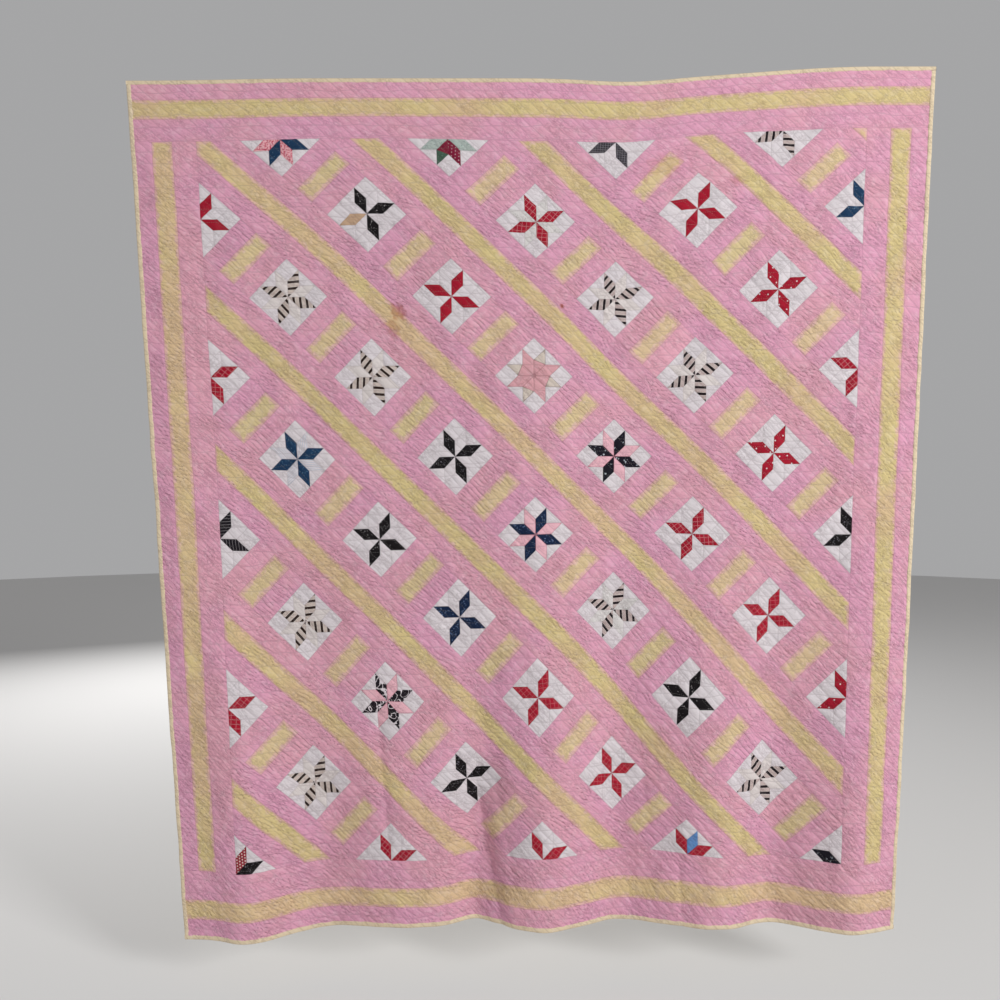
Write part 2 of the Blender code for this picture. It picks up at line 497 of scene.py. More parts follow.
def long_sashes():
    """The three strips of each sash that runs between two rows of blocks."""
    reach = (-WIDTH, WIDTH + HEIGHT)
    grain = math.atan2(ROW[1], ROW[0])
    for line in range(-COLUMNS, COLUMNS + 1, 2):
        middle = (line - COLUMNS / 2) * PITCH / 2
        for strip in (-1, 0, 1):
            cross = (middle + (strip - 0.5) * STRIP, middle + (strip + 0.5) * STRIP)
            fabric = "yellow" if strip == 0 else "pink"
            yield patch(f"long_{fabric}_sashes", fabric, box_on_point(reach, cross), grain)


def short_sashes():
    """The three strips between two blocks of a row: at the lattice's half places."""
    grain = math.atan2(CROSS[1], CROSS[0])
    for line in range(-COLUMNS - 1, COLUMNS + 2, 2):
        for place in range(-2, COLUMNS + ROWS + 3, 2):
            middle, cross = lattice_place((place + line) / 2, (place - line) / 2)
            for strip in (-1, 0, 1):
                along = (middle + (strip - 0.5) * STRIP, middle + (strip + 0.5) * STRIP)
                kind = "yellow" if strip == 0 else "pink"
                fabric = "light_yellow" if strip == 0 else "pink"
                corners = box_on_point(along, (cross - BLOCK / 2, cross + BLOCK / 2))
                yield patch(f"short_{kind}_sashes", fabric, corners, grain)


def lattice_place(column, row):
    """A lattice point's place along and across the rows of blocks."""
    middle = COLUMNS / 2
    return (column - middle + row) * PITCH / 2, (column - middle - row) * PITCH / 2


def star_block(block):
    """Patches of one star: eight petals, four squares at the corners and four triangles."""
    column, row = block["at"]
    along, cross = lattice_place(column, row)

    def place(x, y, turn):
        x, y = turned(x, y, turn)
        return from_lattice(along + x, cross + y)

    half = BLOCK / 2
    dark = 1 if block["turn"] == "right" else 0
    for point in range(STAR_POINTS):
        fabric = block["petals"] if point % 2 == dark else block.get("between", "white")
        fabric = block.get("odd", {}).get(point, fabric)
        turn = point // 2 * math.pi / 2
        if point % 2 == 0:
            diamond = [(0, 0), (PETAL, 0), (half, SHOULDER), (SHOULDER, SHOULDER)]
        else:
            diamond = [(0, 0), (SHOULDER, SHOULDER), (SHOULDER, half), (0, PETAL)]
        corners = [place(x, y, turn) for x, y in diamond]
        lean = STRIPE_LEAN if point >= STAR_POINTS / 2 else -STRIPE_LEAN
        grain = math.atan2(*(corners[2] - corners[0])[::-1]) + lean
        if isinstance(fabric, str):
            yield patch("stars", fabric, corners, grain)
            continue
        yield patch("stars", fabric[0], [corners[0], corners[1], corners[3]], grain)
        yield patch("stars", fabric[1], [corners[1], corners[2], corners[3]], grain)
    for quarter in range(4):
        turn = quarter * math.pi / 2
        square = [(SHOULDER, SHOULDER), (half, SHOULDER), (half, half), (SHOULDER, half)]
        triangle = [(PETAL, 0), (half, -SHOULDER), (half, SHOULDER)]
        yield patch("block_grounds", "white", [place(x, y, turn) for x, y in square], turn)
        yield patch("block_grounds", "white", [place(x, y, turn) for x, y in triangle], turn)


def borders():
    """Three strips along each side: the top and foot run the full width, the sides fit between."""
    left, right = -WIDTH / 2 + SHEET_INSET, WIDTH / 2 - SHEET_INSET
    for side, depth in (("top", BORDER), ("foot", FOOT_BORDER), ("left", BORDER), ("right", BORDER)):
        start = SHEET_INSET
        for fabric, wide in BORDER_STRIPS:
            end = depth if wide is None else start + wide - SHEET_INSET * (start == SHEET_INSET)
            near, far = {
                "top": (start, end),
                "foot": (HEIGHT - start, HEIGHT - end),
                "left": (-WIDTH / 2 + start, -WIDTH / 2 + end),
                "right": (WIDTH / 2 - start, WIDTH / 2 - end),
            }[side]
            if side in ("top", "foot"):
                corners = [(left, near), (right, near), (right, far), (left, far)]
                grain = 0.0
            else:
                corners = [(near, FIELD_TOP), (far, FIELD_TOP), (far, FIELD_FOOT), (near, FIELD_FOOT)]
                grain = math.pi / 2
            yield patch(f"{fabric}_borders", fabric, corners, grain)
            start = end


def clipped(corners, sides):
    """The part of a convex polygon inside some sides, each (point, inward direction)."""
    for (at_x, at_y), (in_x, in_y) in sides:
        kept = []
        depths = [(x - at_x) * in_x + (y - at_y) * in_y for x, y in corners]
        for i, (x, y) in enumerate(corners):
            before = i - 1
            if (depths[before] > 0) != (depths[i] > 0):
                share = depths[before] / (depths[before] - depths[i])
                from_x, from_y = corners[before]
                kept.append((from_x + share * (x - from_x), from_y + share * (y - from_y)))
            if depths[i] > 0:
                kept.append((x, y))
        corners = kept
        if len(corners) < 3:
            return []
    apart = [math.dist(corner, corners[i - 1]) > SAME_PLACE for i, corner in enumerate(corners)]
    corners = [corner for corner, kept in zip(corners, apart) if kept]
    return corners if len(corners) >= 3 else []


def sides_of(corners):
    """The sides of a convex polygon, each a point on it and the unit direction inwards."""
    corners = np.asarray(corners, float)
    middle = corners.mean(axis=0)
    sides = []
    for at, after in zip(corners, np.roll(corners, -1, axis=0)):
        along = (after - at) / np.linalg.norm(after - at)
        inward = np.array([-along[1], along[0]])
        if inward @ (middle - at) < 0:
            inward = -inward
        sides.append((at, inward))
    return sides


FIELD = [
    ((FIELD_LEFT, 0.0), (1.0, 0.0)),
    ((FIELD_RIGHT, 0.0), (-1.0, 0.0)),
    ((0.0, FIELD_TOP), (0.0, 1.0)),
    ((0.0, FIELD_FOOT), (0.0, -1.0)),
]


def all_patches():
    """Every patch of the front, with those of the field trimmed at the border's seam."""
    field = [*long_sashes(), *short_sashes()]
    for block in BLOCKS:
        field += star_block(block)
    trimmed = []
    for one in field:
        corners = clipped([tuple(corner) for corner in one["corners"]], FIELD)
        if corners:
            trimmed.append({**one, "corners": np.array(corners)})
    return trimmed + list(borders())


# ---- cutting patches into facets

# Corners of the grid within this share of a facet of a seam are moved onto it, and those
# nearer than ON_SIDE count as lying on it.
SNAP = 0.18
ON_SIDE = 1e-9


def snapped_grid(corners, sides, cell):
    """The facets' corners round a patch, with those close to a seam moved onto it."""
    low = np.floor(np.min(corners, axis=0) / cell).astype(int) - 1
    high = np.ceil(np.max(corners, axis=0) / cell).astype(int) + 2
    across, down = np.arange(low[0], high[0]) * cell, np.arange(low[1], high[1]) * cell
    grid = np.stack(np.meshgrid(across, down), axis=-1)
    for at, inward in sides:
        depth = (grid - at) @ inward
        grid = grid - (np.abs(depth) < SNAP * cell)[..., None] * depth[..., None] * inward
    return grid


def cut_facets(places, triangles, depths, sides):
    """The parts inside a patch of the facets that its seams cross: points, and counts of them."""
    points, counts = [], []
    for triangle in triangles:
        crossed = [side for side, depth in zip(sides, depths[:, triangle]) if depth.min() < 0]
        polygon = clipped([tuple(place) for place in places[triangle]], crossed)
        if len(polygon) >= 3:
            points += polygon
            counts.append(len(polygon))
    return np.array(points).reshape(-1, 2), counts


def welded(points, counts):
    """Joins points in the same place, and makes facets of runs of so many points."""
    keys = np.round(points / SAME_PLACE).astype(np.int64)
    _, first, index = np.unique(keys, axis=0, return_index=True, return_inverse=True)
    index = index.reshape(-1).tolist()
    facets = []
    start = 0
    for count in counts:
        ring = index[start : start + count]
        ring = [one for i, one in enumerate(ring) if one != ring[i - 1]]
        start += count
        if len(ring) >= 3:
            facets.append(ring)
    return points[first], facets


def facets_of(corners, cell):
    """Cuts a convex patch out of the grid of facets.

    Returns its points, its facets as rows of point numbers and each point's distance in from
    the patch's sides. The facets' long sides follow the slanting quilting lines.
    """
    sides = sides_of(corners)
    grid = snapped_grid(corners, sides, cell)
    depths = np.stack([(grid - at) @ inward for at, inward in sides])
    depths[np.abs(depths) < ON_SIDE] = 0.0
    rows, columns = grid.shape[:2]
    number = np.arange(rows * columns).reshape(rows, columns)
    a, b, c, d = number[:-1, :-1], number[:-1, 1:], number[1:, 1:], number[1:, :-1]
    upper, lower = np.stack([a, c, b], -1), np.stack([a, d, c], -1)
    triangles = np.concatenate([upper.reshape(-1, 3), lower.reshape(-1, 3)])
    depths = depths.reshape(len(sides), -1)
    places = grid.reshape(-1, 2)
    at_corners = depths[:, triangles]
    whole = (at_corners >= 0).all(axis=(0, 2))
    outside = (at_corners <= 0).all(axis=2).any(axis=0)
    cut_points, counts = cut_facets(places, triangles[~whole & ~outside], depths, sides)
    points = np.concatenate([places[triangles[whole]].reshape(-1, 2), cut_points])
    points, facets = welded(points, [3] * int(whole.sum()) + counts)
    depth = np.min([(points - at) @ inward for at, inward in sides], axis=0)
    return points, facets, np.maximum(depth, 0.0)


def new_mesh(name, places, facets, point_values, facet_slots=None):
    """A smooth mesh that carries named vectors at its points, such as their flat place."""
    mesh = bpy.data.meshes.new(name)
    mesh.from_pydata(places, [], facets)
    for label, values in point_values.items():
        attribute = mesh.attributes.new(label, "FLOAT_VECTOR", "POINT")
        attribute.data.foreach_set("vector", np.ascontiguousarray(values, np.float32).ravel())
    mesh.polygons.foreach_set("use_smooth", np.ones(len(mesh.polygons), bool))
    if facet_slots is not None:
        mesh.polygons.foreach_set("material_index", np.array(facet_slots, np.int32))
    add_flat_map(mesh, point_values["flat"])
    thing = bpy.data.objects.new(name, mesh)
    bpy.context.scene.collection.objects.link(thing)
    return thing


def add_flat_map(mesh, flat):
    """Lays the piece's UV map out as its flat cloth."""
    flat = np.asarray(flat)[:, :2]
    size = (flat.max(axis=0) - flat.min(axis=0)).max()
    uv = (flat - flat.min(axis=0)) / size
    layer = mesh.uv_layers.new(name="OFBake")
    corners = np.empty(len(mesh.loops), np.int32)
    mesh.loops.foreach_get("vertex_index", corners)
    layer.uv.foreach_set("vector", uv[corners].astype(np.float32).ravel())


def front_out(across, down, seam_depth, puckers):
    """Height of the front sheet off the middle layer."""
    soft = ease(from_edge(across, down), 0.0, FLAT_EDGE)
    lift = PUFF * quilted(across, down) * (1 + PLUMP_SHARE * ripple_height(PLUMP, across, down))
    lift -= ease(seam_depth, *SEAM_CLEAR) * puckers
    return SKIN + soft * (lift - DITCH * bump(seam_depth, 0.0, DITCH_WIDE))


def front_piece(name, patches, fabrics):
    """Sews some patches into one mesh, with one material slot for each fabric."""
    cell = QUILTING / FRONT_CELLS
    points, facets, depths, cuts, slots = [], [], [], [], []
    count = 0
    for one in patches:
        places, rings, depth = facets_of(one["corners"], cell)
        if not len(places):
            continue
        points.append(places)
        depths.append(depth)
        facets += [[count + number for number in ring] for ring in rings]
        slots += [fabrics.index(one["fabric"])] * len(rings)
        x, y = turned(places[:, 0], places[:, 1], -one["grain"])
        tone = np.full(len(places), one["tone"])
        cuts.append(np.stack([x + one["offset"][0], y + one["offset"][1], tone], axis=-1))
        count += len(places)
    points = np.concatenate(points)
    depth = np.concatenate(depths)
    across, down = points[:, 0], points[:, 1]
    values = {
        "flat": np.stack([across, down, depth], axis=-1),
        "cut": np.concatenate(cuts),
        "stray": np.stack([*stitch_stray(across, down), stained(across, down)], axis=-1),
    }
    puckers = 0.0
    drawn = []
    waves = pucker_waves(across, down)
    for kind, share, (cosine, sine, strength) in zip(PUCKERS, PUCKERED[name], waves):
        values[kind["name"]] = np.stack([cosine, sine, 0 * sine], axis=-1)
        drawn.append(share * strength * ease(np.hypot(cosine, sine), *PUCKER_DRAWN))
        puckers = puckers + kind["deep"] * share * strength * pucker_depth(cosine, sine)
    values["puckered"] = np.stack(drawn, axis=-1)
    places = hung(across, down, front_out(across, down, depth, puckers))
    thing = new_mesh(name, places, facets, values, slots)
    for fabric in fabrics:
        thing.data.materials.append(cloth(fabric))
    return thing


def backing():
    """The plain back sheet, quilted through with the same lines."""
    left, right = -WIDTH / 2 + SHEET_INSET, WIDTH / 2 - SHEET_INSET
    top, foot = SHEET_INSET, HEIGHT - SHEET_INSET
    corners = [(left, top), (right, top), (right, foot), (left, foot)]
    points, facets, depth = facets_of(corners, QUILTING / BACK_CELLS)
    across, down = points[:, 0], points[:, 1]
    soft = ease(depth, 0.0, FLAT_EDGE)
    out = -SKIN - soft * PUFF * quilted(across, down)
    flat = np.stack([across, down, depth], axis=-1)
    cut = np.stack([across, down, np.zeros(len(points))], axis=-1)
    rings = [ring[::-1] for ring in facets]
    thing = new_mesh("quilt_backing", hung(across, down, out), rings, {"flat": flat, "cut": cut})
    thing.data.materials.append(cloth("muslin"))
    return thing


# ---- the binding

BINDING_STEP = 0.0025
BINDING_FACE = 0.0031

# Whip stitches that hold it down: how far apart, how deep they pinch, how far its sewn edge
# bulges between them, and how ragged that edge is.
WHIP = 0.0078
WHIP_PINCH = 0.00045
WHIP_BULGE = 0.0008
RAGGED_EDGE = 0.0004
SEWN_EDGE = 0.9

# The folded strip's section: share of its depth in from the edge, and share of its half
# thickness, from its sewn edge in front to the fold, and the same behind.
FRONT_SECTION = [(1.0, 0.50), (0.97, 0.80), (0.8, 1.00), (0.5, 1.04), (0.22, 0.94), (0.05, 0.62)]
BACK_SECTION = [(deep, -out) for deep, out in reversed(FRONT_SECTION)]
BINDING_SECTION = [*FRONT_SECTION, (-0.02, 0.00), *BACK_SECTION]


def binding(side, length, flat_place):
    """A strip folded round one edge; flat_place(along, deep) gives (across, down)."""
    steps = int(length[1] / BINDING_STEP - length[0] / BINDING_STEP)
    along = np.linspace(length[0], length[1], steps + 1)
    whip = np.abs(np.sin(math.pi * along / WHIP + 0.6 * np.sin(along * 23.0)))
    places, flat, cut = [], [], []
    for deep_share, out_share in BINDING_SECTION:
        ragged = RAGGED_EDGE * np.sin(along * 97.0 + 2.0 * np.sin(along * 31.0))
        deep = BINDING_DEPTH * deep_share + (deep_share > SEWN_EDGE) * (ragged + WHIP_BULGE * whip)
        out = out_share * (BINDING_FACE - WHIP_PINCH * (1 - whip) * (0.4 + deep_share))
        across, down = flat_place(along, deep)
        places.append(hung(across, down, out))
        flat.append(np.stack([across, down, deep], axis=-1))
        cut.append(np.stack([along, 0 * along + deep_share * BINDING_DEPTH, 0 * along], axis=-1))
    rings = len(BINDING_SECTION)
    points = np.stack(places, axis=1).reshape(-1, 3)
    flat = np.stack(flat, axis=1).reshape(-1, 3)
    cut = np.stack(cut, axis=1).reshape(-1, 3)
    facets = []
    for i in range(len(along) - 1):
        for j in range(rings - 1):
            a = i * rings + j
            facets.append([a, a + 1, a + 1 + rings, a + rings])
    last = (len(along) - 1) * rings
    facets += [list(range(rings)), [last + j for j in range(rings)][::-1]]
    if side in ("top", "right"):
        facets = [ring[::-1] for ring in facets]
    thing = new_mesh(f"{side}_binding", points, facets, {"flat": flat, "cut": cut})
    thing.data.materials.append(cloth("binding"))
    return thing


def bindings():
    half = WIDTH / 2
    short = (BINDING_DEPTH, HEIGHT - BINDING_DEPTH)
    return {
        "top": binding("top", (-half, half), lambda along, deep: (along, deep + 0 * along)),
        "bottom": binding("bottom", (-half, half), lambda along, deep: (along, HEIGHT - deep)),
        "left": binding("left", short, lambda along, deep: (deep - half, along)),
        "right": binding("right", short, lambda along, deep: (half - deep, along)),
    }


# ---- fabrics


def shade(red, green, blue):
    """A colour given in 0-255 display values, as the shader wants it."""
    values = [value / 255 for value in (red, green, blue)]
    linear = [v / 12.92 if v <= 0.04045 else ((v + 0.055) / 1.055) ** 2.4 for v in values]
    return (*linear, 1.0)


class Nodes:
    """Adds nodes to a tree; each call returns an output socket."""

    def __init__(self, tree):
        self.tree = tree

    def add(self, kind, inputs=None, output=0, **settings):
        node = self.tree.nodes.new(kind)
        for name, value in settings.items():
            setattr(node, name, value)
        for name, value in (inputs or {}).items():
            if isinstance(value, bpy.types.NodeSocket):
                self.tree.links.new(value, node.inputs[name])
            else:
                node.inputs[name].default_value = value
        return node.outputs[output]

    def math(self, operation, a, b=0.0):
        return self.add("ShaderNodeMath", {0: a, 1: b}, operation=operation)

    def plus(self, a, b):
        return self.math("ADD", a, b)

    def minus(self, a, b):
        return self.math("SUBTRACT", a, b)

    def times(self, a, b):
        return self.math("MULTIPLY", a, b)

    def over(self, a, b):
        return self.math("DIVIDE", a, b)

    def mix(self, share, a, b, blend="MIX"):
        inputs = {0: share, 6: a, 7: b}
        return self.add("ShaderNodeMix", inputs, 2, data_type="RGBA", blend_type=blend)

    def span(self, value, low, high, start=0.0, end=1.0):
        """value from low to high turned into start to end, smoothly and held at both."""
        inputs = {0: value, 1: low, 2: high, 3: start, 4: end}
        return self.add("ShaderNodeMapRange", inputs, interpolation_type="SMOOTHSTEP")

    def vector(self, x, y, z=0.0):
        return self.add("ShaderNodeCombineXYZ", {0: x, 1: y, 2: z})

    def noise(self, place, scale, detail=2.0, rough=0.5, distortion=0.0):
        inputs = {"Vector": place, "Scale": scale, "Detail": detail, "Roughness": rough}
        inputs["Distortion"] = distortion
        return self.add("ShaderNodeTexNoise", inputs)

    def attribute(self, name):
        """The three numbers of one of the mesh's point attributes, and their vector."""
        vector = self.add("ShaderNodeAttribute", output=1, attribute_name=name)
        node = self.tree.nodes.new("ShaderNodeSeparateXYZ")
        self.tree.links.new(vector, node.inputs[0])
        return node.outputs[0], node.outputs[1], node.outputs[2], vector


# The quilting's shading: where a line's shadow is full and where it ends, running stitches, and
# the relief of puckers, fine creases and rumples in metres.
LINE_SHADOW = (0.0002, 0.0022)
SEAM_SHADOW = (0.0, 0.0012)
STITCH_LONG = 0.0056
THREAD_REACH = 0.00028
PUCKER_RELIEF = 0.00100
CREASE_RELIEF = 0.00038
RUMPLE_RELIEF = 0.0011

# How strong the painted shade of each kind of valley is, of 1.
LINE_DARK, CREASE_DARK, SEAM_DARK = 0.42, 0.55, 0.5

# Between which cosines of its wave a pucker's valley is drawn in the painted shade and the bump,
PUCKER_LINE = (0.84, 1.0)
PUCKER_RAGGED = 0.24

# Fine creases and rumples run down the slant: the scale of their noise along it, of 1 across.
# Creases fade this far from the noise's middle, and drift: between two heights of a slower
# noise they grow from one strength to another.
CREASE_STRETCH, RUMPLE_STRETCH = 0.45, 0.5
CREASE_FADES = 0.07
CREASE_DRIFTS = (0.40, 0.62, 0.15, 0.8)

# Sizes of the noises, in blobs to the metre.
RAGGED, WRINKLES, WRINKLE_DRIFTS, RUMPLES, WEAR, MOTTLE = 240.0, 130.0, 26.0, 190.0, 5.0, 70.0


def hand_quilting():
    """A node group of what sewing does to every fabric.

    The first output is painted shade, up to 1, that darkens the stitching lines, puckers,
    fine creases and seams; Thread is 1 on a stitch, Height is the fine relief in metres, Wear is
    a slow mottle and Fine a quick one, both from 0 to 1, and Stain is how brown the cloth has gone.
    """
    name = "hand_quilting"
    if name in bpy.data.node_groups:
        return bpy.data.node_groups[name]
    tree = bpy.data.node_groups.new(name, "ShaderNodeTree")
    labels = ("Painted_shade", "Thread", "Height", "Wear", "Fine", "Stain")
    for label in labels:
        tree.interface.new_socket(name=label, in_out="OUTPUT", socket_type="NodeSocketFloat")
    n = Nodes(tree)
    across, down, seam, flat = n.attribute("flat")
    level_stray, slant_stray, stained, _ = n.attribute("stray")
    slant_length = n.times(n.plus(across, down), 1 / math.sqrt(2))
    slant_cross = n.times(n.minus(across, down), 1 / math.sqrt(2))
    level = n.math("PINGPONG", n.plus(down, level_stray), QUILTING / 2)
    slant_sewn = n.plus(n.minus(across, down), slant_stray)
    slant = n.math("PINGPONG", n.times(slant_sewn, 1 / math.sqrt(2)),
                   QUILTING / 2 / math.sqrt(2))
    nearest = n.math("MINIMUM", level, slant)
    # Painted shadow along the quilting lines: full on a line, gone a little way off it.
    line = n.span(nearest, *LINE_SHADOW, 1.0, 0.0)

    # The pucker valleys of the mesh, drawn sharper than its facets can, as painted shade and as bump
    # relief.
    ragged = n.times(n.minus(n.noise(flat, RAGGED, 0.0), 0.5), PUCKER_RAGGED)
    puckers = None
    for kind, shown in zip(PUCKERS, n.attribute("puckered")):
        wave = n.add("ShaderNodeAttribute", output=1, attribute_name=kind["name"])
        wave = n.add("ShaderNodeVectorMath", {0: wave}, operation="NORMALIZE")
        cosine = n.add("ShaderNodeSeparateXYZ", {0: wave})
        thin = n.span(n.plus(cosine, ragged), *PUCKER_LINE)
        valley = n.times(thin, shown)
        puckers = valley if puckers is None else n.math("MAXIMUM", puckers, valley)

    # Finer creases all over, mostly slanting, darkened as painted shade and dented in the bump
    # relief.
    stretched = n.vector(n.times(slant_length, CREASE_STRETCH), slant_cross)
    wrinkle = n.math("ABSOLUTE", n.minus(n.noise(stretched, WRINKLES, 1.5, 0.65), 0.5))
    fine = n.span(wrinkle, 0.0, CREASE_FADES, 1.0, 0.0)
    fine = n.times(fine, n.span(n.noise(flat, WRINKLE_DRIFTS, 0.0), *CREASE_DRIFTS))

    # Running stitches lie along the middle of each line.
    run = n.math("GREATER_THAN", level, slant)
    place = n.plus(n.times(slant_length, run), n.times(across, n.minus(1.0, run)))
    dash = n.math("LESS_THAN", n.math("FRACT", n.over(place, STITCH_LONG)), 0.5)
    thread = n.times(dash, n.math("LESS_THAN", nearest, THREAD_REACH))

    # Painted shadow in the ditch along each seam.
    seam_shade = n.span(seam, *SEAM_SHADOW, SEAM_DARK, 0.0)
    # The painted shade is the strongest of the lines', puckers', creases' and seams' darkening.
    valley = n.math("MAXIMUM", n.times(line, LINE_DARK), puckers)
    valley = n.math("MAXIMUM", valley, n.times(fine, CREASE_DARK))
    valley = n.math("MAXIMUM", valley, seam_shade)
    stretched = n.vector(n.times(slant_length, RUMPLE_STRETCH), slant_cross)
    rumple = n.noise(stretched, RUMPLES, 1.0, 0.7)
    height = n.minus(n.times(rumple, RUMPLE_RELIEF), n.times(puckers, PUCKER_RELIEF))
    height = n.minus(height, n.times(fine, CREASE_RELIEF))
    wear = n.noise(flat, WEAR, 2.0, 0.6)
    quick = n.noise(flat, MOTTLE, 1.0, 0.6)
    out = tree.nodes.new("NodeGroupOutput")
    for label, socket in zip(labels, (valley, thread, height, wear, quick, stained)):
        tree.links.new(socket, out.inputs[label])
    return tree


def fine_lines(n, value, period, wide):
    """1 on thin evenly spaced lines."""
    return n.math("LESS_THAN", n.math("PINGPONG", value, period / 2), wide / 2)


BAR_REPEAT = 0.0165


def plain(n, x, y, colours):
    return colours[0]


def bars(n, x, y, colours):
    """Woven stripes across the petal: a wide dark bar, then hair lines on a pale ground."""
    along = n.math("FRACT", n.over(x, BAR_REPEAT))
    ground, dark, hair = colours
    stops = [(0.0, dark), (0.40, ground)]
    for start in (0.52, 0.68, 0.84):
        stops += [(start, hair), (start + 0.06, ground)]
    ramp = n.tree.nodes.new("ShaderNodeValToRGB")
    ramp.color_ramp.interpolation = "CONSTANT"
    while len(ramp.color_ramp.elements) < len(stops):
        ramp.color_ramp.elements.new(0.5)
    for element, (position, colour) in zip(ramp.color_ramp.elements, stops):
        element.position = position
        element.color = colour
    n.tree.links.new(along, ramp.inputs[0])
    return ramp.outputs[0]


def plaid(n, x, y, colours):
    """A small plaid of pale hair lines on a dark ground."""
    lines = n.math("MAXIMUM", fine_lines(n, x, 0.011, 0.0012), fine_lines(n, y, 0.013, 0.0012))
    wide = n.times(fine_lines(n, x, 0.022, 0.006), 0.30)
    ground = n.mix(wide, colours[0], colours[2])
    return n.mix(n.times(lines, 0.40), ground, colours[1])


def check(n, x, y, colours):
    grid = n.math("MAXIMUM", fine_lines(n, x, 0.0062, 0.0011), fine_lines(n, y, 0.0062, 0.0011))
    return n.mix(n.times(grid, 0.55), colours[0], colours[1])


def pinstripe(n, x, y, colours):
    return n.mix(n.times(fine_lines(n, x, 0.0075, 0.0009), 0.7), colours[0], colours[1])


def hairlines(n, x, y, colours):
    return n.mix(n.times(fine_lines(n, y, 0.0048, 0.0010), 0.75), colours[0], colours[1])


def spots(n, x, y, colours, spacing=0.009, size=0.0011):
    """Small round dots in staggered rows."""
    row = n.math("FLOOR", n.over(y, spacing))
    shift = n.times(n.math("MODULO", row, 2.0), spacing / 2)
    from_x = n.minus(n.math("FRACT", n.over(n.plus(x, shift), spacing)), 0.5)
    from_y = n.minus(n.math("FRACT", n.over(y, spacing)), 0.5)
    square = n.plus(n.times(from_x, from_x), n.times(from_y, from_y))
    dot = n.span(n.times(n.math("SQRT", square), spacing), size * 0.8, size * 1.2, 1, 0)
    return n.mix(dot, colours[0], colours[1])


def few_spots(n, x, y, colours):
    return spots(n, x, y, colours, 0.021, 0.0019)


def dense_spots(n, x, y, colours):
    return spots(n, x, y, colours, 0.0072, 0.0018)


def flecks(n, x, y, colours, scale=165.0, size=0.20):
    """Small irregular flecks, as in a shirting print."""
    place = n.vector(x, y)
    wobble = n.add("ShaderNodeTexNoise", {"Vector": place, "Scale": 300.0}, 1)
    bent = n.add("ShaderNodeMixRGB", {0: 0.006, 1: place, 2: wobble})
    cells = n.add("ShaderNodeTexVoronoi", {"Vector": bent, "Scale": scale, "Randomness": 1.0}, 0)
    fleck = n.span(cells, size * 0.7, size, 1.0, 0.0)
    some = n.span(n.noise(place, 60.0, 1.0), 0.42, 0.55)
    return n.mix(n.times(fleck, some), colours[0], colours[1])


def blotches(n, x, y, colours):
    """Dense small blotches that cover about half the ground."""
    place = n.vector(x, y)
    return n.mix(n.span(n.noise(place, 230.0, 2.0, 0.6), 0.49, 0.56), colours[0], colours[1])


def flowers(n, x, y, colours):
    return flecks(n, x, y, colours, 95.0, 0.30)


def fine_print(n, x, y, colours):
    return flecks(n, x, y, colours, 220.0, 0.30)


def splash(n, x, y, colours):
    """Big curling white shapes on black."""
    place = n.vector(x, y)
    curl = n.noise(place, 42.0, 1.0, 0.4, 1.6)
    return n.mix(n.span(n.math("ABSOLUTE", n.minus(curl, 0.53)), 0.035, 0.05, 1, 0),
                 colours[0], colours[1])


WHITE = (211, 204, 207)
CREAM = (212, 200, 192)
RED = (156, 20, 42)
BLACK = (18, 14, 16)

